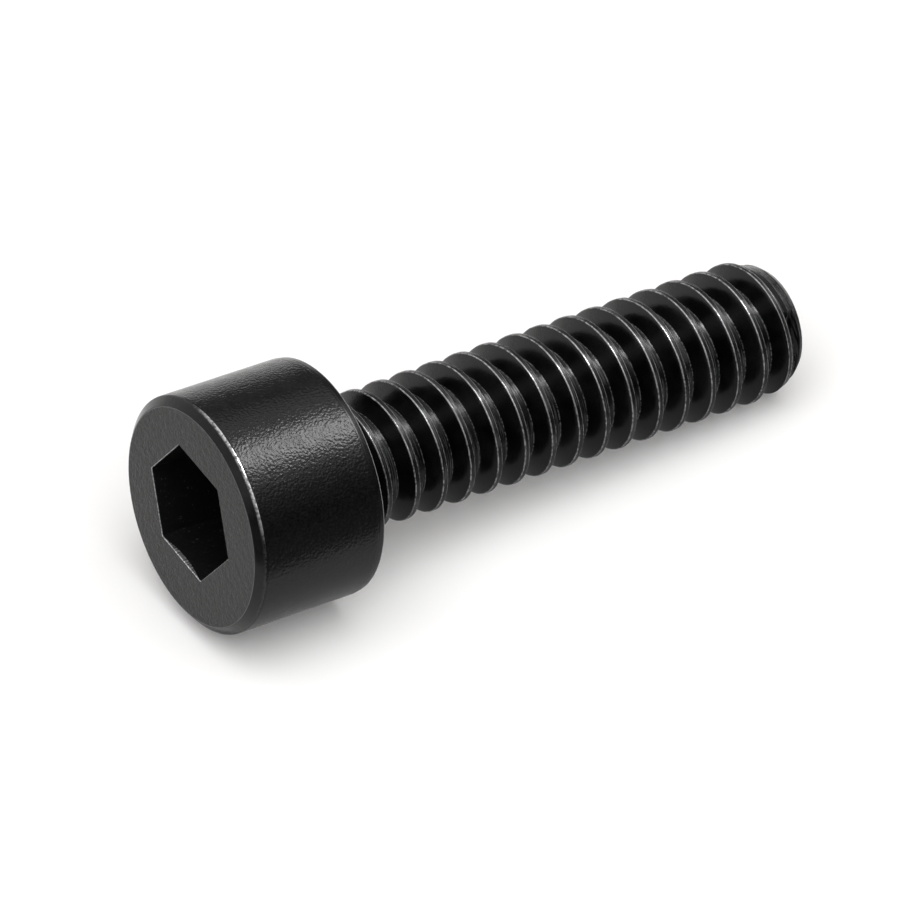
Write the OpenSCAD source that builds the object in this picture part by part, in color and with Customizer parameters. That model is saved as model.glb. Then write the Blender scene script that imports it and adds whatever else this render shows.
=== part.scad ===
// Socket head cap screw in blackened steel, with a coarse thread over its full length.
// It lies on the floor on the rim of its head and on the last crest of its thread.

/* [Head] */
// Diameter of the head
head_d = 7.92; // [6.5:0.01:10]
// Height of the head, from its face to the bearing face under it
head_h = 4.75; // [3.5:0.01:6]
// Width of the chamfer round the face, seen from the end
chamfer_w = 0.29; // [0.1:0.01:0.5]
// Height of the chamfer round the face, along the axis
chamfer_h = 0.25; // [0.1:0.01:0.5]
// Radius of the rounded back rim of the head
rim_round = 0.09; // [0.05:0.01:0.3]

/* [Hexagon socket] */
// Width of the socket across its flats
socket_flats = 3.97; // [3:0.01:4.6]
// Depth of the flats, from the face
socket_depth = 2.45; // [1.5:0.01:3]
// Diameter of the drilled point below the flats
drill_d = 3.6; // [2.5:0.01:3.8]
// Full angle of the drilled point
drill_angle = 120; // [90:1:140]
// Turn of the socket about the axis, from straight down
socket_turn = -22.3; // [-60:0.1:60]
// Distance of the punched socket from the middle of the head
socket_off = 0.14; // [0:0.01:0.2]
// Direction of that distance about the axis
socket_off_turn = 138; // [0:1:360]

/* [Thread] */
// Outside diameter of the thread
thread_d = 4.65; // [4.3:0.01:5.5]
// Distance from one crest to the next
pitch = 1.058; // [0.8:0.001:1.3]
// Depth of the thread
thread_depth = 0.62; // [0.4:0.01:0.75]
// Width of the flat on each crest
crest_flat = 0.16; // [0.08:0.01:0.25]
// Width of the flat at each root
root_flat = 0.24; // [0.1:0.01:0.35]
// Turn of the thread about the axis
thread_turn = 160; // [0:1:360]

/* [Shank] */
// Length of the shank, from the bearing face to the tip
shank_l = 18; // [10:0.1:40]
// Length of the chamfer at the tip
tip_chamfer = 0.6; // [0.3:0.01:1]
// Radius of the fillet between the head and the shank
fillet_r = 0.4; // [0.2:0.01:0.6]
// Gap left between the thread's crests and the fillet's edge on the bearing face
fillet_gap = 0.12; // [0.05:0.01:0.3]

/* [Hidden] */
steel = [0.12, 0.12, 0.13];
eps = 0.01;
head_r = head_d / 2;
crest_r = thread_d / 2;
root_r = crest_r - thread_depth;
tip_r = crest_r - tip_chamfer;

// Steps round one turn of the thread
turn_steps = 36;
// Where each corner of the thread's outline lies along one pitch, and its radius there
flank_l = (pitch - crest_flat - root_flat) / 2;
profile = [
    [-crest_flat / 2, crest_r],
    [crest_flat / 2, crest_r],
    [crest_flat / 2 + flank_l, root_r],
    [crest_flat / 2 + flank_l + root_flat, root_r],
];
rows_a_pitch = len(profile);
// The thread starts inside the head and runs past the tip, where it is cut off
first_turn = -1;
last_turn = ceil(shank_l / pitch) + 1;

// Middle of the crest at an angle round the axis, in a given turn
function crest_z(turn, angle) = pitch * (turn + (angle - thread_turn) / 360);

// Edges of the crests on the underside, cut short where the chamfer at the tip begins
full_l = shank_l - tip_chamfer;
under_z = [
    for (turn = [1 : last_turn]) each [
        crest_z(turn, 0) - crest_flat / 2,
        max(crest_z(turn, 0) - crest_flat / 2, min(crest_z(turn, 0) + crest_flat / 2, full_l))
    ]
];
function under_r(z) = crest_r - max(0, z - full_l);
// Angle at which the axis slopes down from the head's back rim to the crest that it rests on
lie = min([for (z = under_z) if (z < shank_l) atan((head_r - under_r(z)) / (z + rim_round))]);
// Height of the middle of the bearing face above the floor
bearing_h = head_r * cos(lie) - rim_round * sin(lie);
// Reach of the screw behind and before the bearing face, as it lies
back_reach = head_h * cos(lie) + (head_r - chamfer_w) * sin(lie);
front_reach = shank_l * cos(lie) + tip_r * sin(lie);
middle_x = (front_reach - back_reach) / 2;

// One corner of the thread's surface, for a row along the axis and a step round it
function thread_point(row, step) =
    let (
        corner = profile[row % rows_a_pitch],
        turn = first_turn + floor(row / rows_a_pitch),
        angle = 360 * step / turn_steps
    )
    [
        corner[1] * cos(angle),
        corner[1] * sin(angle),
        crest_z(turn, angle) + corner[0]
    ];

function corner_index(row, step) =
    step < turn_steps ? row * turn_steps + step : (row + rows_a_pitch) * turn_steps;

// Ring of corners round one end, which climbs one pitch and steps back
function end_ring(row) = concat(
    [for (step = [0 : turn_steps - 1]) corner_index(row, step)],
    [for (back = [rows_a_pitch : -1 : 1]) corner_index(row + back, 0)]
);

// Long helical ridge and groove, a solid bar that is wound in one surface
module thread_bar() {
    rows = rows_a_pitch * (last_turn - first_turn);
    points = concat(
        [
            for (row = [0 : rows + rows_a_pitch])
                for (step = [0 : turn_steps - 1])
                    thread_point(row, step)
        ],
        [[0, 0, crest_z(first_turn, 180)], [0, 0, crest_z(last_turn, 180)]]
    );
    low_centre = (rows + rows_a_pitch + 1) * turn_steps;
    high_centre = low_centre + 1;
    low = end_ring(0);
    high = end_ring(rows);
    sides = [
        for (row = [0 : rows - 1]) for (step = [0 : turn_steps - 1]) each [
            [corner_index(row, step), corner_index(row + 1, step), corner_index(row + 1, step + 1)],
            [corner_index(row, step), corner_index(row + 1, step + 1), corner_index(row, step + 1)]
        ]
    ];
    low_cap = [for (i = [0 : len(low) - 1]) [low_centre, low[i], low[(i + 1) % len(low)]]];
    high_cap = [for (i = [0 : len(high) - 1]) [high_centre, high[(i + 1) % len(high)], high[i]]];
    polyhedron(points = points, faces = concat(sides, low_cap, high_cap), convexity = 10);
}

// Space that the shank may fill, with the chamfer at the tip
module shank_limit() {
    rotate_extrude($fn = 72)
        polygon([
            [0, -eps],
            [crest_r + 1, -eps],
            [crest_r + 1, shank_l - tip_chamfer - 1],
            [tip_r, shank_l],
            [0, shank_l]
        ]);
}

module shank() {
    intersection() {
        thread_bar();
        shank_limit();
    }
}

module head_blank() {
    rotate_extrude($fn = 96)
        polygon([
            [0, -head_h],
            [head_r - chamfer_w, -head_h],
            [head_r, chamfer_h - head_h],
            for (a = [0 : 15 : 90]) [
                head_r - rim_round * (1 - cos(a)),
                rim_round * (sin(a) - 1)
            ],
            [0, 0]
        ]);
}

module socket() {
    translate([socket_off * cos(socket_off_turn), socket_off * sin(socket_off_turn), -head_h])
        rotate([0, 0, socket_turn])
            translate([0, 0, -eps])
                cylinder(h = socket_depth + eps, r = socket_flats / sqrt(3), $fn = 6);
    translate([0, 0, socket_depth - head_h])
        cylinder(h = drill_d / 2 / tan(drill_angle / 2), d1 = drill_d, d2 = 0, $fn = 48);
}

module head() {
    difference() {
        head_blank();
        socket();
    }
}

// Rounded foot of the shank, wider than the thread where it meets the head
module fillet() {
    foot_r = crest_r + fillet_gap;
    rotate_extrude($fn = 96)
        polygon([
            [0, -eps],
            [foot_r, -eps],
            for (a = [0 : 15 : 90]) [foot_r - fillet_r * sin(a), fillet_r * (1 - cos(a))],
            [0, fillet_r]
        ]);
}

module screw() {
    color(steel)
        translate([-middle_x, 0, bearing_h])
            rotate([0, 90 + lie, 0]) {
                head();
                fillet();
                shank();
            }
}

screw();
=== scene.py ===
"""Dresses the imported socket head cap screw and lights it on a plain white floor.

The screw is one solid piece. Its mesh is made here in the screw's own frame, where
+Z runs from the head to the tip and z = 0 is the bearing face under the head, and is
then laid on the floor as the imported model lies. All lengths are in metres.
"""

from __future__ import annotations

import logging
import math
from dataclasses import dataclass, field
from enum import Enum
import bmesh
import bpy
from mathutils import Matrix, Quaternion, Vector, noise


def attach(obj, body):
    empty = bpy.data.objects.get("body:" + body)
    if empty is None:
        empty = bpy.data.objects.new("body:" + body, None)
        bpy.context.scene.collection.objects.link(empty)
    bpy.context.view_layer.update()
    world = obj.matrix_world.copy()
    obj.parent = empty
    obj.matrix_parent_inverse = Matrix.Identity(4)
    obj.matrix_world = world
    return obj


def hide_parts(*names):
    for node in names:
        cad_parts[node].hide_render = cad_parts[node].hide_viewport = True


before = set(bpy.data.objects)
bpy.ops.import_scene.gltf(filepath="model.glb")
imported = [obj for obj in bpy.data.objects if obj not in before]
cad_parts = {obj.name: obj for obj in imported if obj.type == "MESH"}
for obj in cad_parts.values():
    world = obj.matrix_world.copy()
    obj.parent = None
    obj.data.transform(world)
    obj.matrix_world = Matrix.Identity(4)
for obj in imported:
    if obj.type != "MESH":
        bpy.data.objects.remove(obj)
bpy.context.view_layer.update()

log = logging.getLogger("screw_scene")

Point = tuple[float, float]
Span = tuple[float, float]
Colour = tuple[float, float, float]
SocketValue = float | bpy.types.NodeSocket

MM = 0.001
WHITE: Colour = (1.0, 1.0, 1.0)
# From none to all of something
WHOLE: Span = (0.0, 1.0)
# Range that most values of a noise lie in
MOST_NOISE: Span = (0.3, 0.7)


class Region(Enum):
    """Surfaces of the screw that are finished apart, in the order of its material slots.

    FACE is also the end face of the tip, and CHAMFER the bearing face under the head.
    """

    WALL = 0
    FACE = 1
    CHAMFER = 2
    SOCKET = 3
    THREAD = 4


class Cut(Enum):
    """Ways in which two solids are joined."""

    UNION = "UNION"
    INTERSECT = "INTERSECT"
    DIFFERENCE = "DIFFERENCE"


@dataclass(frozen=True)
class ScrewSizes:
    """Driving sizes of the screw, as in the part's source."""

    head_radius: float = 3.96 * MM
    head_height: float = 4.75 * MM
    chamfer_width: float = 0.29 * MM
    chamfer_height: float = 0.25 * MM
    rim_round: float = 0.09 * MM
    socket_sides: int = 6
    socket_flats: float = 3.97 * MM
    socket_depth: float = 2.45 * MM
    drill_radius: float = 1.8 * MM
    drill_angle: float = math.radians(120)
    socket_turn: float = math.radians(-22.3)
    socket_offset: float = 0.14 * MM
    socket_offset_turn: float = math.radians(138)
    crest_radius: float = 2.325 * MM
    pitch: float = 1.058 * MM
    thread_depth: float = 0.62 * MM
    crest_flat: float = 0.16 * MM
    root_flat: float = 0.24 * MM
    thread_turn: float = math.radians(160)
    shank_length: float = 18.0 * MM
    tip_chamfer: float = 0.6 * MM
    fillet_radius: float = 0.4 * MM
    fillet_gap: float = 0.12 * MM

    @property
    def root_radius(self) -> float:
        """Radius at the bottom of the thread."""
        return self.crest_radius - self.thread_depth

    @property
    def flank_length(self) -> float:
        """Length of one sloping flank, along the axis."""
        return (self.pitch - self.crest_flat - self.root_flat) / 2

    @property
    def tip_radius(self) -> float:
        """Radius of the flat end of the tip."""
        return self.crest_radius - self.tip_chamfer

    @property
    def foot_radius(self) -> float:
        """Radius of the fillet where it meets the bearing face."""
        return self.crest_radius + self.fillet_gap

    @property
    def face_radius(self) -> float:
        """Radius of the flat face of the head, inside its chamfer."""
        return self.head_radius - self.chamfer_width

    @property
    def lie(self) -> float:
        """Angle at which the axis slopes down towards the tip.

        Returns:
            Least slope from the head's back rim to the crest that the screw rests on.
        """
        full, half = self.shank_length - self.tip_chamfer, self.crest_flat / 2
        slopes: list[float] = []
        for turn in range(1, math.ceil(self.shank_length / self.pitch) + 1):
            crest = self.pitch * (turn - self.thread_turn / math.tau)
            near, far = crest - half, crest + half
            for edge in (near, max(near, min(far, full))):
                drop = self.head_radius - self.crest_radius + max(0.0, edge - full)
                slopes.append(math.atan(drop / (edge + self.rim_round)))
        return min(slopes)

    def seat(self) -> Matrix:
        """Places the screw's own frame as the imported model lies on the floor.

        Returns:
            Matrix from the screw's own frame to the shared frame.
        """
        slope, level = math.sin(self.lie), math.cos(self.lie)
        height = self.head_radius * level - self.rim_round * slope
        back = self.head_height * level + self.face_radius * slope
        front = self.shank_length * level + self.tip_radius * slope
        turn = Matrix.Rotation(math.pi / 2 + self.lie, 4, "Y")
        return Matrix.Translation((-(front - back) / 2, 0, height)) @ turn


def polar(radius: float, angle: float, height: float = 0.0) -> Vector:
    """Point at a radius and an angle about the axis."""
    return Vector((radius * math.cos(angle), radius * math.sin(angle), height))


def rounded(corners: list[Point], radii: list[float], steps: int, period: float = 0.0) -> list[Point]:
    """Rounds the corners of an outline with arcs.

    Args:
        corners: Corners as (radius, height) points.
        radii: Radius of the arc at each corner, 0 to keep it sharp.
        steps: Segments in each arc.
        period: Height after which a repeating outline starts again, 0 for an open one.

    Returns:
        Points of the rounded outline.
    """
    count = len(corners)
    points: list[Point] = []
    for i, (corner, radius) in enumerate(zip(corners, radii)):
        at = Vector(corner)
        if radius == 0 or (period == 0 and i in (0, count - 1)):
            points.append(corner)
            continue
        before = Vector(corners[i - 1]) - Vector((0, period if i == 0 else 0))
        after = Vector(corners[(i + 1) % count]) + Vector((0, period if i == count - 1 else 0))
        back, ahead = (before - at).normalized(), (after - at).normalized()
        half = back.angle(ahead) / 2
        centre = at + (back + ahead).normalized() * (radius / math.sin(half))
        start = at + back * (radius / math.tan(half)) - centre
        end = at + ahead * (radius / math.tan(half)) - centre
        swing = math.remainder(math.atan2(end.y, end.x) - math.atan2(start.y, start.x), math.tau)
        for step in range(steps + 1):
            arm = start.copy()
            arm.rotate(Matrix.Rotation(swing * step / steps, 2))
            points.append(tuple(centre + arm))
    return points


def refined(points: list[Point], longest: float) -> list[Point]:
    """Adds points to an outline so that no segment is longer than a given length.

    Args:
        points: Outline as (radius, height) points.
        longest: Greatest length of a segment.

    Returns:
        Outline with the added points.
    """
    made: list[Point] = []
    for start, end in zip(points, points[1:]):
        parts = max(1, math.ceil(math.dist(start, end) / longest))
        made += [tuple(Vector(start).lerp(Vector(end), i / parts)) for i in range(parts)]
    return made + [points[-1]]


def linked(name: str, data: bpy.types.ID) -> bpy.types.Object:
    """Makes an object and links it to the scene.

    Args:
        name: Name of the object.
        data: Mesh, light or camera that it shows.

    Returns:
        The new object.
    """
    made = bpy.data.objects.new(name, data)
    bpy.context.scene.collection.objects.link(made)
    return made


def mesh_object(name: str, vertices: list[Vector], faces: list[tuple[int, ...]]) -> bpy.types.Object:
    """Makes a closed mesh object with its normals outwards.

    Args:
        name: Name of the object and its mesh.
        vertices: Corners of the mesh.
        faces: Faces as corner numbers.

    Returns:
        The new object, linked to the scene.
    """
    same_place = 1e-9
    mesh = bpy.data.meshes.new(name)
    mesh.from_pydata(vertices, [], faces)
    shape = bmesh.new()
    shape.from_mesh(mesh)
    bmesh.ops.remove_doubles(shape, verts=shape.verts, dist=same_place)
    bmesh.ops.recalc_face_normals(shape, faces=shape.faces)
    shape.to_mesh(mesh)
    shape.free()
    return linked(name, mesh)


def panel(name: str, width: float, height: float) -> bpy.types.Object:
    """Makes a flat rectangle about the origin, which looks up.

    Args:
        name: Name of the object and its mesh.
        width: Width along X.
        height: Height along Y.

    Returns:
        The new object, linked to the scene.
    """
    across, up = width / 2, height / 2
    corners = [(-across, -up, 0), (across, -up, 0), (across, up, 0), (-across, up, 0)]
    mesh = bpy.data.meshes.new(name)
    mesh.from_pydata(corners, [], [(0, 1, 2, 3)])
    return linked(name, mesh)


def lathe(name: str, outline: list[Point], columns: int) -> bpy.types.Object:
    """Turns an outline round the axis into a closed solid.

    Args:
        name: Name of the object.
        outline: Outline as (radius, height) points, from the axis back to the axis.
        columns: Steps round one turn.

    Returns:
        The turned solid.
    """
    rings = outline[1:-1]
    vertices = [Vector((0, 0, outline[0][1])), Vector((0, 0, outline[-1][1]))]
    for radius, height in rings:
        vertices += [polar(radius, math.tau * column / columns, height) for column in range(columns)]
    faces: list[tuple[int, ...]] = []
    last = 2 + (len(rings) - 1) * columns
    for column in range(columns):
        beside = (column + 1) % columns
        faces.append((0, 2 + column, 2 + beside))
        faces.append((1, last + beside, last + column))
        for row in range(len(rings) - 1):
            low, high = 2 + row * columns, 2 + (row + 1) * columns
            faces.append((low + column, high + column, high + beside, low + beside))
    return mesh_object(name, vertices, faces)


def apply_modifiers(body: bpy.types.Object) -> None:
    """Works an object's modifiers into its mesh.

    Args:
        body: Object that is changed.
    """
    old = body.data
    shown = body.evaluated_get(bpy.context.evaluated_depsgraph_get())
    body.data = bpy.data.meshes.new_from_object(shown)
    body.modifiers.clear()
    bpy.data.meshes.remove(old)


def join(base: bpy.types.Object, other: bpy.types.Object, cut: Cut) -> None:
    """Joins one solid with another, which is used up.

    Args:
        base: Solid that is changed.
        other: Solid that it is joined with or cut by.
        cut: How the two are joined.
    """
    step = base.modifiers.new(cut.name.lower(), "BOOLEAN")
    step.operation = cut.value
    step.object = other
    step.solver = "MANIFOLD"
    apply_modifiers(base)
    used = other.data
    bpy.data.objects.remove(other)
    bpy.data.meshes.remove(used)


def settle_normals(body: bpy.types.Object) -> None:
    """Turns the shading normals towards the large faces, so that only the rounded edges bend.

    Args:
        body: Solid that is changed.
    """
    step = body.modifiers.new("settle", "WEIGHTED_NORMAL")
    step.keep_sharp = True
    apply_modifiers(body)


class NodeSheet:
    """Node tree of a material or world, with short calls for the nodes that finishes share."""

    # Numbers of the colour sockets on a Mix node
    FIRST_COLOUR = 6
    SECOND_COLOUR = 7
    MIXED_COLOUR = 2

    def __init__(self, owner: bpy.types.Material | bpy.types.World) -> None:
        """Empties the owner's node tree.

        Args:
            owner: Material or world that gets the nodes.
        """
        self.owner = owner
        owner.use_nodes = True
        self.tree = owner.node_tree
        self.tree.nodes.clear()

    def node(
        self, kind: str, inputs: dict[str | int, object] | None = None, **settings: object
    ) -> bpy.types.Node:
        """Adds a node.

        Args:
            kind: Type name of the node, without its ShaderNode prefix.
            inputs: Values or sockets for its inputs, by name or number.
            **settings: Other properties of the node.

        Returns:
            The new node.
        """
        made = self.tree.nodes.new("ShaderNode" + kind)
        for name, value in settings.items():
            setattr(made, name, value)
        for key, value in (inputs or {}).items():
            self.feed(made.inputs[key], value)
        return made

    def feed(self, target: bpy.types.NodeSocket, value: object) -> None:
        """Links a socket to an input, or sets a plain value on it.

        Args:
            target: Input that is fed.
            value: Socket, number, vector or colour.
        """
        if isinstance(value, bpy.types.NodeSocket):
            self.tree.links.new(value, target)
        else:
            target.default_value = value

    def math(
        self, operation: str, first: SocketValue, second: SocketValue = 0.0, third: SocketValue = 0.0
    ) -> bpy.types.NodeSocket:
        """Adds a Math node.

        Args:
            operation: Name of the operation.
            first: First value.
            second: Second value, where the operation has one.
            third: Third value, where the operation has one.

        Returns:
            The result's socket.
        """
        return self.node("Math", {0: first, 1: second, 2: third}, operation=operation).outputs[0]

    def between(self, value: SocketValue, source: Span, result: Span = WHOLE) -> bpy.types.NodeSocket:
        """Maps a value smoothly from one range to another.

        Args:
            value: Value to map.
            source: Values that give the two ends of the result.
            result: Results at those two values.

        Returns:
            The result's socket.
        """
        ends = {"From Min": source[0], "From Max": source[1], "To Min": result[0], "To Max": result[1]}
        made = self.node("MapRange", {"Value": value, **ends}, interpolation_type="SMOOTHSTEP")
        return made.outputs["Result"]

    def tint(
        self, share: SocketValue, first: Colour | bpy.types.NodeSocket, second: Colour
    ) -> bpy.types.NodeSocket:
        """Mixes two colours.

        Args:
            share: Share of the second colour.
            first: First colour, or its socket.
            second: Second colour.

        Returns:
            The mixed colour's socket.
        """
        plain = isinstance(first, tuple)
        ends = {self.FIRST_COLOUR: (*first, 1) if plain else first, self.SECOND_COLOUR: (*second, 1)}
        made = self.node("Mix", data_type="RGBA")
        self.feed(made.inputs["Factor"], share)
        for number, colour in ends.items():
            self.feed(made.inputs[number], colour)
        return made.outputs[self.MIXED_COLOUR]

    def grain(
        self, place: bpy.types.NodeSocket, size: float, detail: float = 2.0, roughness: float = 0.5
    ) -> bpy.types.NodeSocket:
        """Adds a noise texture.

        Args:
            place: Place at which the noise is read.
            size: Size of its grains, in metres.
            detail: Layers of finer noise.
            roughness: Strength of the finer layers.

        Returns:
            Socket of the noise, from 0 to 1.
        """
        inputs = {"Vector": place, "Scale": 1 / size, "Detail": detail, "Roughness": roughness}
        return self.node("TexNoise", inputs).outputs["Fac"]

    def streaks(
        self, lengths: tuple[bpy.types.NodeSocket, ...], sizes: tuple[float, ...], detail: float
    ) -> bpy.types.NodeSocket:
        """Adds a noise texture whose grains are drawn out.

        Args:
            lengths: Three lengths at which the noise is read, in metres.
            sizes: Size of its grains along each, in metres.
            detail: Layers of finer noise.

        Returns:
            Socket of the noise, from 0 to 1.
        """
        parts = [self.math("MULTIPLY", length, 1 / size) for length, size in zip(lengths, sizes)]
        place = self.node("CombineXYZ", dict(enumerate(parts))).outputs[0]
        return self.grain(place, 1.0, detail)

    def bump(
        self, height: bpy.types.NodeSocket, depth: float, under: bpy.types.NodeSocket | None = None
    ) -> bpy.types.NodeSocket:
        """Adds a bump.

        Args:
            height: Height from 0 to 1.
            depth: Depth of the relief, in metres.
            under: Normal of a bump that this one is laid over.

        Returns:
            The bumped normal's socket.
        """
        made = self.node("Bump", {"Strength": 1.0, "Distance": depth, "Height": height})
        if under is not None:
            self.feed(made.inputs["Normal"], under)
        return made.outputs["Normal"]


@dataclass(frozen=True)
class ScrewPlace:
    """Sockets that give a point's place on the screw."""

    point: bpy.types.NodeSocket
    down: bpy.types.NodeSocket
    across: bpy.types.NodeSocket
    radius: bpy.types.NodeSocket
    turn: bpy.types.NodeSocket
    height: bpy.types.NodeSocket

    @classmethod
    def on(cls, sheet: NodeSheet, sizes: ScrewSizes) -> ScrewPlace:
        """Adds the nodes that read the place in the screw's own frame.

        Args:
            sheet: Sheet that gets the nodes.
            sizes: Sizes of the screw, which say how it lies.

        Returns:
            Sockets of the point, its three parts, its radius, and its turn from 0 to 1.
        """
        laid = sheet.node("TexCoord").outputs["Object"]
        seat = sizes.seat()
        back = {"Vector": laid, "Location": seat.to_translation(), "Rotation": seat.to_euler()}
        point = sheet.node("Mapping", back, vector_type="TEXTURE").outputs[0]
        down, across, height = sheet.node("SeparateXYZ", {0: point}).outputs
        radius = sheet.math("MULTIPLY_ADD", across, across, sheet.math("MULTIPLY", down, down))
        radius = sheet.math("SQRT", radius)
        turn = sheet.math("MULTIPLY_ADD", sheet.math("ARCTAN2", across, down), 1 / math.tau, 0.5)
        return cls(point, down, across, radius, turn, height)

    def towards(self, sheet: NodeSheet, angle: float, reach: float = 1.0) -> bpy.types.NodeSocket:
        """Measures how far a point lies out towards one side of the screw.

        Args:
            sheet: Sheet that gets the nodes.
            angle: Turn of that side about the axis.
            reach: Distance that counts as 1.

        Returns:
            Socket of the distance from the axis, below 0 on the other side.
        """
        part = sheet.math("MULTIPLY", self.down, math.cos(angle) / reach)
        return sheet.math("MULTIPLY_ADD", self.across, math.sin(angle) / reach, part)


@dataclass(frozen=True)
class BlackOxide:
    """Black oxide with a thin oil film, which all the finishes share."""

    deep: Colour = (0.0008, 0.0008, 0.0009)
    worn: Colour = (0.003, 0.003, 0.0031)
    bare: Colour = (0.6, 0.6, 0.61)
    film_index: float = 1.4

    def shade(
        self,
        sheet: NodeSheet,
        patches: SocketValue,
        roughness: SocketValue,
        normal: bpy.types.NodeSocket,
        bare_share: bpy.types.NodeSocket,
    ) -> bpy.types.Material:
        """Adds the shader and the output.

        Args:
            sheet: Sheet that gets the nodes.
            patches: Share of the lighter oxide, from 0 to 1.
            roughness: Roughness of the surface.
            normal: Bumped normal.
            bare_share: Share of bare steel where the oxide has worn away.

        Returns:
            The finished material.
        """
        oxide = sheet.tint(patches, self.deep, self.worn)
        look = {
            "Base Color": sheet.tint(bare_share, oxide, self.bare),
            "Metallic": bare_share,
            "Roughness": roughness,
            "IOR": self.film_index,
            "Normal": normal,
        }
        shader = sheet.node("BsdfPrincipled", look)
        sheet.node("OutputMaterial", {"Surface": shader.outputs[0]})
        return sheet.owner


@dataclass(frozen=True)
class WallFinish:
    """Pebbled oxide on the head's wall, which turns smooth at its back rim."""

    sizes: ScrewSizes
    oxide: BlackOxide = BlackOxide()
    pebble: float = 0.085 * MM
    pebble_depth: float = 0.015 * MM
    pebble_detail: float = 1.0
    pebble_roughness: float = 0.4
    light_pebbles: Span = (0.4, 0.7)
    swell: float = 0.425 * MM
    smooth_band: float = 0.22 * MM
    back_fade: float = 0.08 * MM
    front_fade: float = 0.1 * MM
    roughness: Span = (0.18, 0.25)
    worn_rim: Span = (-0.06 * MM, -0.01 * MM)
    rim_share: float = 0.6

    def material(self) -> bpy.types.Material:
        """Builds the material.

        Returns:
            The finished material.
        """
        sheet = NodeSheet(bpy.data.materials.new("head_wall_oxide"))
        place = ScrewPlace.on(sheet, self.sizes)
        pebbles = sheet.grain(place.point, self.pebble, self.pebble_detail, self.pebble_roughness)
        swells = sheet.grain(place.point, self.swell)
        back, front = -self.smooth_band, self.sizes.chamfer_height - self.sizes.head_height
        fade = sheet.math(
            "MULTIPLY",
            sheet.between(place.height, (back, back - self.back_fade)),
            sheet.between(place.height, (front, front + self.front_fade)),
        )
        normal = sheet.bump(sheet.math("MULTIPLY", pebbles, fade), self.pebble_depth)
        rough = sheet.between(swells, MOST_NOISE, self.roughness)
        rim = sheet.between(place.height, self.worn_rim, (0.0, self.rim_share))
        return self.oxide.shade(sheet, sheet.between(pebbles, self.light_pebbles), rough, normal, rim)


@dataclass(frozen=True)
class FaceFinish:
    """Matt, mottled oxide on the turned face of the head."""

    sizes: ScrewSizes
    oxide: BlackOxide = BlackOxide(deep=(0.001, 0.001, 0.001), worn=(0.02, 0.019, 0.0185), film_index=1.33)
    ring: float = 0.05 * MM
    ring_length: float = 1.25 * MM
    ring_depth: float = 0.004 * MM
    ring_detail: float = 2.0
    mottle: float = 0.25 * MM
    mottle_depth: float = 0.025 * MM
    mottle_detail: float = 4.0
    speck_detail: float = 2.0
    speck_share: float = 0.5
    grain_roughness: float = 0.6
    light_patches: Span = (0.9, 1.15)
    roughness: Span = (0.28, 0.5)
    rim_inset: Span = (0.05 * MM, 0.005 * MM)
    rim_share: float = 0.25

    def material(self) -> bpy.types.Material:
        """Builds the material.

        Returns:
            The finished material.
        """
        sheet = NodeSheet(bpy.data.materials.new("head_face_oxide"))
        place = ScrewPlace.on(sheet, self.sizes)
        mottles = sheet.grain(place.point, self.mottle, self.mottle_detail, self.grain_roughness)
        specks = sheet.grain(place.point, self.mottle / 3, self.speck_detail, self.grain_roughness)
        marks = sheet.streaks(
            (place.radius, place.across, place.down),
            (self.ring, self.ring_length, self.ring_length),
            self.ring_detail,
        )
        relief = sheet.math("MULTIPLY_ADD", specks, self.speck_share, mottles)
        normal = sheet.bump(marks, self.ring_depth, sheet.bump(relief, self.mottle_depth))
        rough = sheet.between(mottles, MOST_NOISE, self.roughness)
        inner, outer = (self.sizes.face_radius - inset for inset in self.rim_inset)
        rim = sheet.between(place.radius, (inner, outer), (0.0, self.rim_share))
        patches = sheet.between(sheet.math("ADD", mottles, specks), self.light_patches)
        return self.oxide.shade(sheet, patches, rough, normal, rim)


@dataclass(frozen=True)
class ChamferFinish:
    """Smooth oxide on the chamfer, worn thin where it meets the wall, with a painted highlight: the worn
    edge shows bare steel mostly on the side where the lamps reflect.
    """

    sizes: ScrewSizes
    oxide: BlackOxide = BlackOxide(film_index=1.33)
    patch: float = 0.2 * MM
    patch_depth: float = 0.004 * MM
    patch_detail: float = 3.0
    light_patches: Span = (0.4, 0.7)
    roughness: float = 0.22
    worn_inset: Span = (0.09 * MM, 0.005 * MM)
    # Painted highlight: the worn edge is bare mostly on this side, where the lamps' highlight falls
    highlight_side: float = math.radians(-150)
    highlight_facing: Span = (0.75, 0.97)
    highlight_share: Span = (0.03, 1.0)
    fleck: float = 0.1 * MM
    fleck_detail: float = 3.0
    fleck_roughness: float = 0.65
    fleck_range: Span = (0.4, 0.55)
    fleck_share: Span = (0.25, 1.0)

    def material(self) -> bpy.types.Material:
        """Builds the material.

        Returns:
            The finished material.
        """
        sheet = NodeSheet(bpy.data.materials.new("chamfer_oxide"))
        place = ScrewPlace.on(sheet, self.sizes)
        edge = self.sizes.head_radius
        patches = sheet.grain(place.point, self.patch, self.patch_detail)
        normal = sheet.bump(patches, self.patch_depth)
        inner, outer = (edge - inset for inset in self.worn_inset)
        worn = sheet.between(place.radius, (inner, outer))
        flecks = sheet.grain(place.point, self.fleck, self.fleck_detail, self.fleck_roughness)
        share = sheet.math("MULTIPLY", worn, sheet.between(flecks, self.fleck_range, self.fleck_share))
        # Painted highlight: the bare steel of the worn edge fades away from the side where the lamps
        # reflect
        facing = place.towards(sheet, self.highlight_side, edge)
        share = sheet.math("MULTIPLY", share, sheet.between(facing, self.highlight_facing, self.highlight_share))
        lighter = sheet.between(patches, self.light_patches)
        return self.oxide.shade(sheet, lighter, self.roughness, normal, share)


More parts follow.
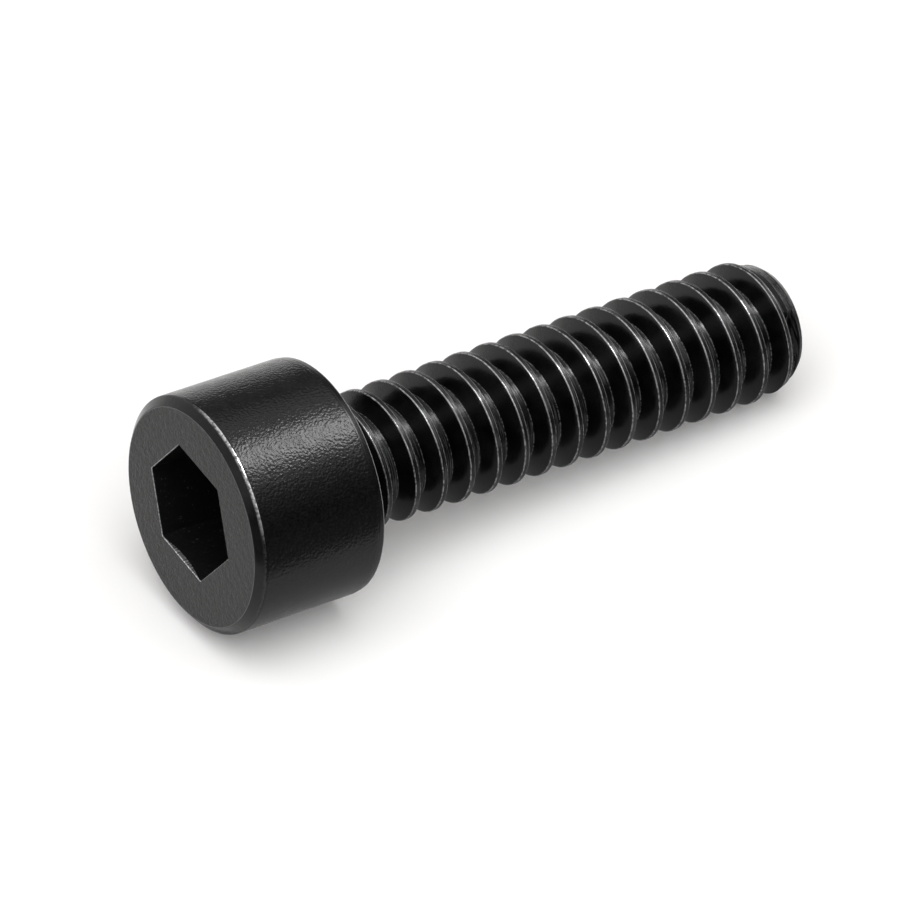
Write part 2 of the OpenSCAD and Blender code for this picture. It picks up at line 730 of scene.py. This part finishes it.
@dataclass(frozen=True)
class SocketFinish:
    """Dark, oily oxide inside the punched socket, with marks along its flats."""

    sizes: ScrewSizes
    oxide: BlackOxide = BlackOxide(deep=(0.003, 0.003, 0.003), worn=(0.01, 0.01, 0.01))
    roughness: float = 0.36
    mark: float = 0.08 * MM
    mark_length: float = 0.96 * MM
    mark_depth: float = 0.012 * MM
    detail: float = 3.0
    speck_roughness: float = 0.6
    light_specks: Span = (0.55, 0.75)
    glint_specks: Span = (0.64, 0.74)
    glint_share: float = 0.12
    lip: float = 0.035 * MM
    lip_specks: Span = (0.35, 0.6)
    lip_share: Span = (0.15, 0.7)
    scuffed_flat: int = 0
    scuff_depth: float = 0.17 * MM
    scuff_half_width: float = 1.1 * MM
    scuff_inset: Span = (0.06 * MM, 0.03 * MM)
    scuff_fade: float = 0.015 * MM
    torn_marks: Span = (0.42, 0.56)
    torn_share: Span = (0.1, 1.0)
    torn_relief: float = 2.0

    def scuff(
        self, sheet: NodeSheet, place: ScrewPlace, depth: bpy.types.NodeSocket
    ) -> bpy.types.NodeSocket:
        """Shallow arc that the punch left below the mouth on one flat.

        Args:
            sheet: Sheet that gets the nodes.
            place: Place on the screw.
            depth: Depth below the face.

        Returns:
            Share of the arc, from 0 to 1.
        """
        size = self.sizes
        out = size.socket_turn + (2 * self.scuffed_flat + 1) * math.pi / size.socket_sides
        away = size.socket_offset_turn - out
        along = place.towards(sheet, out + math.pi / 2)
        off_middle = sheet.math("SUBTRACT", along, size.socket_offset * math.sin(away))
        part = sheet.math("MULTIPLY", off_middle, 1 / self.scuff_half_width)
        square = sheet.math("MULTIPLY", part, part)
        arc = sheet.math("MULTIPLY_ADD", square, -self.scuff_depth, self.scuff_depth)
        flat = size.socket_flats / 2 + size.socket_offset * math.cos(away)
        inner, outer = (flat - inset for inset in self.scuff_inset)
        on_flat = sheet.between(place.towards(sheet, out), (inner, outer))
        above = sheet.between(sheet.math("SUBTRACT", arc, depth), (0.0, self.scuff_fade))
        return sheet.math("MULTIPLY", on_flat, above)

    def material(self) -> bpy.types.Material:
        """Builds the material.

        Returns:
            The finished material.
        """
        sheet = NodeSheet(bpy.data.materials.new("socket_oxide"))
        place = ScrewPlace.on(sheet, self.sizes)
        marks = sheet.streaks(
            (place.down, place.across, place.height), (self.mark, self.mark, self.mark_length), self.detail
        )
        specks = sheet.grain(place.point, self.mark, self.detail, self.speck_roughness)
        depth = sheet.math("ADD", place.height, self.sizes.head_height)
        lip = sheet.between(depth, (self.lip, self.lip / 3))
        lip = sheet.math("MULTIPLY", lip, sheet.between(specks, self.lip_specks, self.lip_share))
        scuffed = self.scuff(sheet, place, depth)
        torn = sheet.math("MULTIPLY", scuffed, sheet.between(marks, self.torn_marks, self.torn_share))
        raised = sheet.math("MULTIPLY_ADD", scuffed, self.torn_relief, 1.0)
        normal = sheet.bump(sheet.math("MULTIPLY", marks, raised), self.mark_depth)
        glints = sheet.between(specks, self.glint_specks, (0.0, self.glint_share))
        bare = sheet.math("MAXIMUM", glints, sheet.math("MAXIMUM", lip, torn))
        lighter = sheet.between(specks, self.light_specks)
        return self.oxide.shade(sheet, lighter, self.roughness, normal, bare)


@dataclass(frozen=True)
class ThreadFinish:
    """Rolled thread: dark flanks, scratched crests and bright worn edges, which are bare mostly on one side
    as a painted highlight where the lamps reflect.
    """

    sizes: ScrewSizes
    oxide: BlackOxide = BlackOxide()
    edge_width: float = 0.048 * MM
    land_fade: float = 0.02 * MM
    scratch: float = 0.05 * MM
    scratch_length: float = 1.0 * MM
    scratch_depth: float = 0.03 * MM
    scratch_drift: float = 0.2
    detail: float = 3.0
    fleck: float = 0.11 * MM
    fleck_depth: float = 0.003 * MM
    fleck_roughness: float = 0.65
    patch: float = 0.9 * MM
    light_patches: Span = (0.35, 0.7)
    roughness: Span = (0.17, 0.24)
    # Painted highlight: the worn edges are whitest on this side, where the lamps' highlight falls. The
    # facing there runs up to 1
    highlight_side: float = math.radians(-150)
    worn_flecks: Span = (0.42, 0.62)
    least_facing: Span = (0.8, 0.98)
    least_wear_and_highlight: Span = (0.1, 0.6)
    most_facing: Span = (0.5, 0.95)
    most_wear_and_highlight: Span = (0.75, 1.0)
    root_flecks: Span = (0.4, 0.6)
    root_share: float = 0.15
    scuff_scratches: Span = (0.5, 0.65)
    scuff_share: float = 0.05

    def off_crest(self, sheet: NodeSheet, place: ScrewPlace) -> bpy.types.NodeSocket:
        """Measures how far a point lies from the middle of the nearest crest, along the axis.

        Args:
            sheet: Sheet that gets the nodes.
            place: Place on the screw.

        Returns:
            Socket of the distance, in metres.
        """
        size = self.sizes
        climbed = sheet.math("MULTIPLY_ADD", place.height, 1 / size.pitch, size.thread_turn / math.tau)
        wound = sheet.math("FRACT", sheet.math("SUBTRACT", climbed, place.turn))
        off = sheet.math("ABSOLUTE", sheet.math("SUBTRACT", wound, 0.5))
        return sheet.math("MULTIPLY", off, size.pitch)

    def line(self, sheet: NodeSheet, off_crest: bpy.types.NodeSocket, edge: float) -> bpy.types.NodeSocket:
        """Marks a narrow line along one edge of the crests or roots.

        Args:
            sheet: Sheet that gets the nodes.
            off_crest: Distance from the middle of the nearest crest.
            edge: Distance at which the edge lies.

        Returns:
            Share of the line, from 0 to 1.
        """
        off_edge = sheet.math("ABSOLUTE", sheet.math("SUBTRACT", off_crest, edge))
        return sheet.between(off_edge, (self.edge_width / 2, 0.0))

    def wear_and_highlight(
        self, sheet: NodeSheet, place: ScrewPlace, flecks: bpy.types.NodeSocket
    ) -> bpy.types.NodeSocket:
        """Spreads the bare steel of the crests' worn edges in flecks, most of it on one side, as a painted
        highlight where the lamps reflect.

        Args:
            sheet: Sheet that gets the nodes.
            place: Place on the screw.
            flecks: Noise of the flecks.

        Returns:
            Share of bare steel along an edge, from 0 to 1.
        """
        facing = place.towards(sheet, self.highlight_side, self.sizes.crest_radius)
        least = sheet.between(facing, self.least_facing, self.least_wear_and_highlight)
        most = sheet.between(facing, self.most_facing, self.most_wear_and_highlight)
        patchy = sheet.between(flecks, self.worn_flecks)
        return sheet.math("MULTIPLY_ADD", patchy, sheet.math("SUBTRACT", most, least), least)

    def material(self) -> bpy.types.Material:
        """Builds the material.

        Returns:
            The finished material.
        """
        sheet = NodeSheet(bpy.data.materials.new("thread_oxide"))
        place = ScrewPlace.on(sheet, self.sizes)
        crest = self.sizes.crest_flat / 2
        root = crest + self.sizes.flank_length
        off_crest = self.off_crest(sheet, place)
        crest_land = sheet.between(off_crest, (crest + self.land_fade, crest - self.land_fade))
        root_land = sheet.between(off_crest, (root - self.land_fade, root + self.land_fade))
        land = sheet.math("ADD", crest_land, root_land)
        drift = sheet.math("MULTIPLY_ADD", place.height, self.scratch_drift, off_crest)
        scratches = sheet.streaks(
            (drift, place.down, place.across),
            (self.scratch, self.scratch_length, self.scratch_length),
            self.detail,
        )
        flecks = sheet.grain(place.point, self.fleck, self.detail, self.fleck_roughness)
        patches = sheet.grain(place.point, self.patch)
        relief = sheet.math("MULTIPLY", sheet.math("SUBTRACT", scratches, 0.5), land)
        normal = sheet.bump(relief, self.scratch_depth, sheet.bump(flecks, self.fleck_depth))
        # Bare steel along the crest edges: rubbed in flecks, and a painted highlight on the side where the
        # lamps reflect
        worn = sheet.math("MULTIPLY", self.line(sheet, off_crest, crest), self.wear_and_highlight(sheet, place, flecks))
        shine = sheet.between(flecks, self.root_flecks, (0.0, self.root_share))
        shine = sheet.math("MULTIPLY", self.line(sheet, off_crest, root), shine)
        scuffs = sheet.between(scratches, self.scuff_scratches, (0.0, self.scuff_share))
        scuffs = sheet.math("MULTIPLY", land, scuffs)
        bare = sheet.math("MAXIMUM", sheet.math("MAXIMUM", worn, shine), scuffs)
        rough = sheet.between(patches, MOST_NOISE, self.roughness)
        return self.oxide.shade(sheet, sheet.between(patches, self.light_patches), rough, normal, bare)


@dataclass
class ThreadedShank:
    """Shank of the screw, with its rolled thread and chamfered tip."""

    sizes: ScrewSizes
    columns: int = 108
    arc_steps: int = 4
    crest_round: float = 0.04 * MM
    root_round: float = 0.07 * MM
    longest_row: float = 0.12 * MM
    nick_depth: float = 0.008 * MM
    nick_size: float = 0.25 * MM
    fine_nick_scale: float = 2.7
    fine_nick_share: float = 0.5
    # Heights of the tip's forms are measured back from its end
    tip_lead: float = 1.0 * MM
    tip_shoulder: float = 0.36 * MM
    shoulder_drop: float = 0.205 * MM
    tip_end: float = 1.85 * MM
    tip_round: float = 0.04 * MM
    run_out_turn: float = math.radians(-178)
    run_out_reach: float = math.radians(52)
    run_out_blend: float = math.radians(11)
    run_out_start: float = 0.98 * MM
    run_out_full: float = 0.83 * MM
    run_out_depth: float = 0.05 * MM
    end_ring: float = 0.44 * MM
    ring_blend: float = 0.2 * MM
    foot_growth: float = -0.09 * MM
    tip_growth: float = 0.012 * MM
    # The shank starts inside the head
    start: float = -0.3 * MM
    limit_margin: float = 1.0 * MM

    def pitch_outline(self) -> list[Point]:
        """Outline of one pitch of the thread.

        Returns:
            (radius, height) points, measured from the middle of a crest.
        """
        size = self.sizes
        half = size.crest_flat / 2
        root_start = half + size.flank_length
        corners = [
            (size.crest_radius, -half),
            (size.crest_radius, half),
            (size.root_radius, root_start),
            (size.root_radius, root_start + size.root_flat),
        ]
        radii = [self.crest_round, self.crest_round, self.root_round, self.root_round]
        outline = rounded(corners, radii, self.arc_steps, size.pitch)
        first = (outline[0][0], outline[0][1] + size.pitch)
        return refined(outline + [first], self.longest_row)[:-1]

    def growth(self, height: float) -> float:
        """Amount by which the rolled thread stands above its even radius.

        Args:
            height: Distance from the bearing face.

        Returns:
            Radius to add, which is below zero near the head.
        """
        along = 2 * min(1.0, max(0.0, height / self.sizes.shank_length)) - 1
        slope = (self.tip_growth - self.foot_growth) / 2
        sag = (self.tip_growth + self.foot_growth) / 2
        return slope * along + sag * along * along

    def run_out(self, angle: float, height: float) -> float:
        """Radius of the blank's point, which the thread does not reach on one side of the tip.

        Args:
            angle: Turn about the axis.
            height: Distance from the bearing face.

        Returns:
            Radius that the surface has at least, that of the root where the thread is full.
        """
        size = self.sizes
        left = size.shank_length - height
        off = abs(math.remainder(angle - self.run_out_turn, math.tau))
        side = min(1.0, max(0.0, (self.run_out_reach - off) / self.run_out_blend))
        side = max(side, min(1.0, (self.end_ring - left) / self.ring_blend))
        rise = min(1.0, max(0.0, (self.run_out_start - left) / (self.run_out_start - self.run_out_full)))
        slope = self.shoulder_drop / (self.tip_lead - self.tip_shoulder)
        blank = size.crest_radius - (self.tip_lead - left) * slope - self.run_out_depth
        return size.root_radius + side * rise * (blank - size.root_radius)

    def nick(self, place: Vector, radius: float) -> float:
        """Depth by which the rolled surface falls short of its true form.

        Args:
            place: Place of the point on the shank.
            radius: True radius there.

        Returns:
            Depth in metres, greatest on the crests.
        """
        rise = (radius - self.sizes.root_radius) / self.sizes.thread_depth
        spot = place / self.nick_size
        rough = noise.noise(spot) + self.fine_nick_share * noise.noise(spot * self.fine_nick_scale)
        return self.nick_depth * rise * max(0.0, rough)

    def rolled(self, radius: float, angle: float, height: float) -> Vector:
        """Place of a point of the outline on the rolled surface.

        Args:
            radius: True radius of the thread there.
            angle: Turn about the axis.
            height: Distance from the bearing face.

        Returns:
            The point, with its nicks, growth and run-out.
        """
        kept = radius - self.nick(polar(radius, angle, height), radius) + self.growth(height)
        return polar(max(kept, self.run_out(angle, height)), angle, height)

    def wound_bar(self) -> bpy.types.Object:
        """Winds the outline into one closed bar, longer than the shank at both ends.

        Returns:
            The wound bar.
        """
        size = self.sizes
        outline = self.pitch_outline()
        rows_a_pitch = len(outline)
        first_turn, last_turn = -1, math.ceil(size.shank_length / size.pitch) + 1
        rows = rows_a_pitch * (last_turn - first_turn)
        lead = size.thread_turn / math.tau
        vertices: list[Vector] = []
        for row in range(rows + rows_a_pitch + 1):
            radius, height = outline[row % rows_a_pitch]
            turn = first_turn + row // rows_a_pitch
            for column in range(self.columns):
                share = column / self.columns
                climb = size.pitch * (turn + share - lead) + height
                vertices.append(self.rolled(radius, math.tau * share, climb))

        def number(row: int, column: int) -> int:
            """Number of a corner, where the last column runs on one pitch higher."""
            wraps = column == self.columns
            return (row + rows_a_pitch) * self.columns if wraps else row * self.columns + column

        faces: list[tuple[int, ...]] = []
        for row in range(rows):
            for column in range(self.columns):
                low, high = number(row, column), number(row + 1, column)
                faces.append((low, high, number(row + 1, column + 1), number(row, column + 1)))
        for row, turn, flip in ((0, first_turn, False), (rows, last_turn, True)):
            ring = [number(row, column) for column in range(self.columns)]
            ring += [number(row + back, 0) for back in range(rows_a_pitch, 0, -1)]
            hub = len(vertices)
            vertices.append(Vector((0, 0, size.pitch * (turn + 0.5 - lead))))
            for here, beside in zip(ring, ring[1:] + ring[:1]):
                faces.append((hub, beside, here) if flip else (hub, here, beside))
        return mesh_object("cap_screw", vertices, faces)

    def limit(self) -> bpy.types.Object:
        """Solid that the shank may fill, with a long lead and a rounded shoulder at its tip.

        Returns:
            The turned solid, wider than the thread.
        """
        size = self.sizes
        wide = size.crest_radius + self.limit_margin
        slope = (self.tip_lead - self.tip_shoulder) / self.shoulder_drop
        corners = [
            (0.0, self.start),
            (wide, self.start),
            (wide, size.shank_length - self.tip_lead - slope * self.limit_margin),
            (size.crest_radius - self.shoulder_drop, size.shank_length - self.tip_shoulder),
            (self.tip_end, size.shank_length),
            (0.0, size.shank_length),
        ]
        outline = rounded(corners, [0, 0, 0, self.tip_round, self.tip_round, 0], self.arc_steps)
        return lathe("limit", outline, self.columns * 2)

    def build(self) -> bpy.types.Object:
        """Builds the shank, cut to length.

        Returns:
            The shank.
        """
        bar = self.wound_bar()
        join(bar, self.limit(), Cut.INTERSECT)
        return bar


@dataclass
class SocketHead:
    """Cylindrical head of the screw, with its chamfer, rounded rim and hexagon socket."""

    sizes: ScrewSizes
    columns: int = 240
    arc_steps: int = 5
    edge_round: float = 0.07 * MM
    # The core reaches into the shank, inside the roots of its thread
    core_end: float = 1.2 * MM
    core_gap: float = 0.05 * MM
    corner_round: float = 0.05 * MM
    mouth_bevel: float = 0.02 * MM
    cutter_margin: float = 0.2 * MM
    rim_band: float = 0.2 * MM
    rim_taper: float = 0.035 * MM
    # The fillet's arc ends just short of the corners beside it
    fillet_part: float = 0.999

    def blank(self) -> bpy.types.Object:
        """Turns the head with its fillet and a core that reaches into the shank.

        Returns:
            The turned solid, with no socket yet.
        """
        size = self.sizes
        core = size.root_radius - self.core_gap
        foot = size.foot_radius - size.fillet_radius
        rim = size.rim_round
        cornered = [
            ((0.0, -size.head_height), 0),
            ((size.face_radius, -size.head_height), self.edge_round),
            ((size.head_radius, size.chamfer_height - size.head_height), self.edge_round),
            ((size.head_radius, -self.rim_band), rim),
            ((size.head_radius - self.rim_taper, 0.0), rim / 2),
            ((foot, 0.0), size.fillet_radius * self.fillet_part),
            ((foot, size.fillet_radius), 0),
            ((core, size.fillet_radius), 0),
            ((core, self.core_end), 0),
            ((0.0, self.core_end), 0),
        ]
        corners, radii = (list(part) for part in zip(*cornered))
        return lathe("head_blank", rounded(corners, radii, self.arc_steps * 2), self.columns)

    def hexagon(self, grow: float, level: float) -> list[Vector]:
        """Outline of the socket with rounded corners.

        Args:
            grow: Distance by which each flat stands out.
            level: Height of the outline.

        Returns:
            Points round the outline.
        """
        size = self.sizes
        side = math.tau / size.socket_sides
        reach = (size.socket_flats / 2 + grow - self.corner_round) / math.cos(side / 2)
        middle = polar(size.socket_offset, size.socket_offset_turn, level)
        points: list[Vector] = []
        for corner in range(size.socket_sides):
            out = size.socket_turn + corner * side
            centre = middle + polar(reach, out)
            for step in range(self.arc_steps + 1):
                points.append(centre + polar(self.corner_round, out + (step / self.arc_steps - 0.5) * side))
        return points

    def socket_cutter(self) -> bpy.types.Object:
        """Hexagon bar that flares where it meets the face.

        Returns:
            The cutter.
        """
        size = self.sizes
        face = -size.head_height
        levels = [
            (self.mouth_bevel, face - self.cutter_margin),
            (self.mouth_bevel, face),
            (0.0, face + self.mouth_bevel),
            (0.0, face + size.socket_depth),
        ]
        vertices = [point for grow, level in levels for point in self.hexagon(grow, level)]
        count = len(vertices) // len(levels)
        faces: list[tuple[int, ...]] = [tuple(reversed(range(count)))]
        faces.append(tuple(range(len(vertices) - count, len(vertices))))
        for row in range(len(levels) - 1):
            for i in range(count):
                beside = (i + 1) % count
                low, high = row * count, (row + 1) * count
                faces.append((low + i, low + beside, high + beside, high + i))
        return mesh_object("socket_cutter", vertices, faces)

    def drill_cutter(self) -> bpy.types.Object:
        """Drilled point below the flats of the socket.

        Returns:
            The cutter.
        """
        size = self.sizes
        floor = size.socket_depth - size.head_height
        above = floor - self.cutter_margin
        point = floor + size.drill_radius / math.tan(size.drill_angle / 2)
        outline = [(0.0, above), (size.drill_radius, above), (size.drill_radius, floor), (0.0, point)]
        return lathe("drill_cutter", outline, self.columns // 2)

    def carve(self, body: bpy.types.Object) -> None:
        """Cuts the socket and its drilled point into a body."""
        join(body, self.socket_cutter(), Cut.DIFFERENCE)
        join(body, self.drill_cutter(), Cut.DIFFERENCE)


@dataclass
class CapScrew:
    """The whole screw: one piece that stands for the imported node."""

    sizes: ScrewSizes = field(default_factory=ScrewSizes)
    sharp_angle: float = math.radians(32)
    tolerance: float = 0.0005 * MM
    chamfer_margin: float = 0.02 * MM
    # Least part of a flat face's normal that points along the axis
    flatness: float = 0.9
    # Part of the face's radius that the socket stays within
    socket_part: float = 0.75

    def region(self, centre: Vector, normal: Vector) -> Region:
        """Names the surface that a face belongs to.

        Args:
            centre: Middle of the face, in the screw's own frame.
            normal: Normal of the face.

        Returns:
            Region of the face.
        """
        size = self.sizes
        face = -size.head_height
        if centre.z > size.shank_length - self.tolerance:
            return Region.FACE
        if centre.z > self.tolerance:
            return Region.THREAD
        if centre.z > -self.tolerance and normal.z > self.flatness:
            return Region.CHAMFER
        if centre.z < face + self.tolerance and normal.z < -self.flatness:
            return Region.FACE
        inside = math.hypot(centre.x, centre.y) < size.face_radius * self.socket_part
        if inside and centre.z < -self.tolerance:
            return Region.SOCKET
        if centre.z < face + size.chamfer_height + self.chamfer_margin:
            return Region.CHAMFER
        return Region.WALL

    def dress(self, body: bpy.types.Object) -> None:
        """Gives each face its finish and marks the sharp edges.

        Args:
            body: Whole screw, in its own frame.
        """
        finishes = {
            Region.WALL: WallFinish(self.sizes),
            Region.FACE: FaceFinish(self.sizes),
            Region.CHAMFER: ChamferFinish(self.sizes),
            Region.SOCKET: SocketFinish(self.sizes),
            Region.THREAD: ThreadFinish(self.sizes),
        }
        body.data.materials.clear()
        for region in Region:
            body.data.materials.append(finishes[region].material())
        shape = bmesh.new()
        shape.from_mesh(body.data)
        for face in shape.faces:
            face.smooth = True
            face.material_index = self.region(face.calc_center_median(), face.normal).value
        for edge in shape.edges:
            edge.smooth = edge.is_manifold and edge.calc_face_angle(0.0) < self.sharp_angle
        shape.to_mesh(body.data)
        shape.free()

    def build(self) -> bpy.types.Object:
        """Builds the screw, lays it on the floor and ties it to the frame.

        Returns:
            The finished piece.
        """
        head = SocketHead(self.sizes)
        body = ThreadedShank(self.sizes).build()
        join(body, head.blank(), Cut.UNION)
        head.carve(body)
        self.dress(body)
        settle_normals(body)
        body.data.transform(self.sizes.seat())
        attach(body, "root")
        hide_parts("screw")
        return body


@dataclass
class Studio:
    """White floor and surroundings."""

    floor_size: float = 2.0
    floor_level: float = -0.001 * MM
    floor_glow: float = 0.1
    ambient: float = 0.34
    ambient_tint: Colour = (1.0, 0.97, 0.94)

    def seen_directly(self, sheet: NodeSheet) -> bpy.types.NodeSocket:
        """Tells rays that show a surface as background from those that carry its light.

        Args:
            sheet: Sheet that gets the nodes.

        Returns:
            Socket that is 1 for camera, glossy and transmission rays.
        """
        path = sheet.node("LightPath").outputs
        seen = sheet.math("MAXIMUM", path["Is Camera Ray"], path["Is Glossy Ray"])
        return sheet.math("MAXIMUM", seen, path["Is Transmission Ray"])

    def lay_floor(self) -> bpy.types.Object:
        """Lays the white floor, which keeps the screw's shadow.

        Returns:
            The floor.
        """
        floor = panel("floor", self.floor_size, self.floor_size)
        floor.location.z = self.floor_level
        sheet = NodeSheet(bpy.data.materials.new("white_floor"))
        matt = sheet.node("BsdfDiffuse", {"Color": (*WHITE, 1)})
        glow = sheet.node("Emission", {"Strength": 1.0})
        share = sheet.math("MULTIPLY", self.seen_directly(sheet), self.floor_glow)
        mixed = sheet.node("MixShader", {0: share, 1: matt.outputs[0], 2: glow.outputs[0]})
        sheet.node("OutputMaterial", {"Surface": mixed.outputs[0]})
        floor.data.materials.append(sheet.owner)
        return floor

    def surround(self) -> None:
        """Sets the world: white where it is seen, and a soft even light elsewhere."""
        world = bpy.data.worlds.new("white_surroundings")
        bpy.context.scene.world = world
        sheet = NodeSheet(world)
        seen = self.seen_directly(sheet)
        strength = sheet.between(seen, WHOLE, (self.ambient, 1.0))
        colour = sheet.tint(seen, self.ambient_tint, WHITE)
        light = sheet.node("Background", {"Color": colour, "Strength": strength})
        sheet.node("OutputWorld", {"Surface": light.outputs[0]})


def heading(azimuth: float, elevation: float) -> Vector:
    """Direction from the screw towards a light, a card or the camera.

    Args:
        azimuth: Angle from +X towards +Y, in degrees.
        elevation: Angle above the floor, in degrees.

    Returns:
        Unit vector.
    """
    turn, rise = math.radians(azimuth), math.radians(elevation)
    return polar(math.cos(rise), turn, math.sin(rise))


class Task(Enum):
    """What a lamp is for."""

    FLOOR_AND_FORM = "FLOOR_AND_FORM"
    HIGHLIGHT = "HIGHLIGHT"


@dataclass(frozen=True)
class SoftBox:
    """Rectangular lamp with an even glow, aimed at the screw."""

    name: str
    task: Task
    azimuth: float
    elevation: float
    width: float
    height: float
    glow: float
    distance: float = 0.3
    roll: float = 0.0

    def place(self) -> bpy.types.Object:
        """Hangs the lamp.

        Returns:
            The lamp, seen only in reflections or only by matt surfaces.
        """
        lamp = bpy.data.lights.new(self.name, "AREA")
        lamp.shape = "RECTANGLE"
        lamp.size, lamp.size_y = self.width, self.height
        lamp.energy = self.glow * math.pi * self.width * self.height
        hung = linked(self.name, lamp)
        towards = heading(self.azimuth, self.elevation)
        hung.location = towards * self.distance
        hung.rotation_mode = "QUATERNION"
        spin = Quaternion((0, 0, 1), math.radians(self.roll))
        hung.rotation_quaternion = towards.to_track_quat("Z", "Y") @ spin
        hung.visible_diffuse = self.task is Task.FLOOR_AND_FORM
        hung.visible_glossy = self.task is Task.HIGHLIGHT
        return hung


class Stand(Enum):
    """Ways in which a shade card is set up."""

    FACING = "FACING"
    LYING = "LYING"


@dataclass(frozen=True)
class ShadeCard:
    """Grey card beside the screw, which only its reflections show."""

    name: str
    stand: Stand
    centre: Vector
    width: float
    height: float
    low_grey: float
    high_grey: float

    def place(self) -> bpy.types.Object:
        """Stands the card up, or lays it on the floor.

        Returns:
            The card.
        """
        card = panel(self.name, self.width, self.height)
        card.location = self.centre
        if self.stand is Stand.FACING:
            card.rotation_mode = "QUATERNION"
            card.rotation_quaternion = self.centre.to_track_quat("Z", "Y")
        sheet = NodeSheet(bpy.data.materials.new(self.name))
        spot = sheet.node("TexCoord").outputs["Generated"]
        rise = sheet.node("SeparateXYZ", {0: spot}).outputs[1]
        grey = sheet.between(rise, WHOLE, (self.low_grey, self.high_grey))
        glow = sheet.node("Emission", {"Color": (*WHITE, 1), "Strength": grey})
        sheet.node("OutputMaterial", {"Surface": glow.outputs[0]})
        card.data.materials.append(sheet.owner)
        card.visible_camera = False
        card.visible_diffuse = False
        card.visible_shadow = False
        return card


@dataclass
class ProductCamera:
    """Camera at the viewing angle of the photograph."""

    azimuth: float = -124.24
    elevation: float = 39.0
    distance: float = 258.8 * MM
    target: tuple[float, float, float] = (-1.17 * MM, 0.22 * MM, 2.40 * MM)
    lens: float = 320.0
    sensor: float = 36.0
    nearest: float = 10 * MM
    farthest: float = 10.0

    def place(self) -> bpy.types.Object:
        """Sets up the camera.

        Returns:
            The camera.
        """
        data = bpy.data.cameras.new("camera")
        data.lens = self.lens
        data.sensor_width = self.sensor
        data.clip_start, data.clip_end = self.nearest, self.farthest
        camera = linked("camera", data)
        back = heading(self.azimuth, self.elevation)
        camera.location = Vector(self.target) + back * self.distance
        camera.rotation_mode = "QUATERNION"
        camera.rotation_quaternion = back.to_track_quat("Z", "Y")
        bpy.context.scene.camera = camera
        return camera


LIGHTS = (
    SoftBox(
        "overhead",
        Task.FLOOR_AND_FORM,
        azimuth=-124,
        elevation=66,
        width=0.42,
        height=0.42,
        glow=2.8,
        distance=0.35,
    ),
    SoftBox("key", Task.HIGHLIGHT, azimuth=-17.5, elevation=52.5, width=0.11, height=0.11, glow=9.5),
    SoftBox(
        "strip", Task.HIGHLIGHT, azimuth=-118, elevation=73, width=0.24, height=0.07, glow=16.0, roll=28
    ),
)

CARDS = (
    ShadeCard(
        "front_card",
        Stand.FACING,
        centre=heading(-59, 17) * 0.35,
        width=0.5,
        height=0.25,
        low_grey=0.02,
        high_grey=0.3,
    ),
    ShadeCard(
        "low_card",
        Stand.FACING,
        centre=heading(-128, 7) * 0.36,
        width=0.5,
        height=0.17,
        low_grey=0.03,
        high_grey=0.1,
    ),
    ShadeCard(
        "back_card",
        Stand.FACING,
        centre=heading(50, 28) * 0.35,
        width=0.35,
        height=0.22,
        low_grey=0.25,
        high_grey=0.22,
    ),
    ShadeCard(
        "tip_card",
        Stand.FACING,
        centre=heading(10, 13) * 0.36,
        width=0.46,
        height=0.16,
        low_grey=0.3,
        high_grey=0.35,
    ),
    ShadeCard(
        "floor_card",
        Stand.LYING,
        centre=Vector((0.12, -0.155, 0.02 * MM)),
        width=0.5,
        height=0.29,
        low_grey=0.1,
        high_grey=0.17,
    ),
    # Painted shade: this card lies under the screw and paints the floor's shade into its reflections, light
    # at the front and dark beneath
    ShadeCard(
        "near_shade_card",
        Stand.LYING,
        centre=Vector((0.01, -0.003, 0.03 * MM)),
        width=0.043,
        height=0.014,
        low_grey=0.7,
        high_grey=0.08,
    ),
)


def main() -> None:
    """Builds the scene in order and reports each piece."""
    logging.basicConfig(level=logging.INFO, format="%(name)s: %(message)s")
    camera = ProductCamera().place()
    log.info("camera at %s", tuple(round(v, 4) for v in camera.location))
    screw = CapScrew().build()
    log.info("%s with %d faces", screw.name, len(screw.data.polygons))
    studio = Studio()
    log.info("stage %s", studio.lay_floor().name)
    studio.surround()
    for prop in (*LIGHTS, *CARDS):
        log.info("stage %s", prop.place().name)
    bpy.context.scene.view_settings.view_transform = "Standard"
    bpy.context.view_layer.update()


if __name__ == "__main__":
    main()
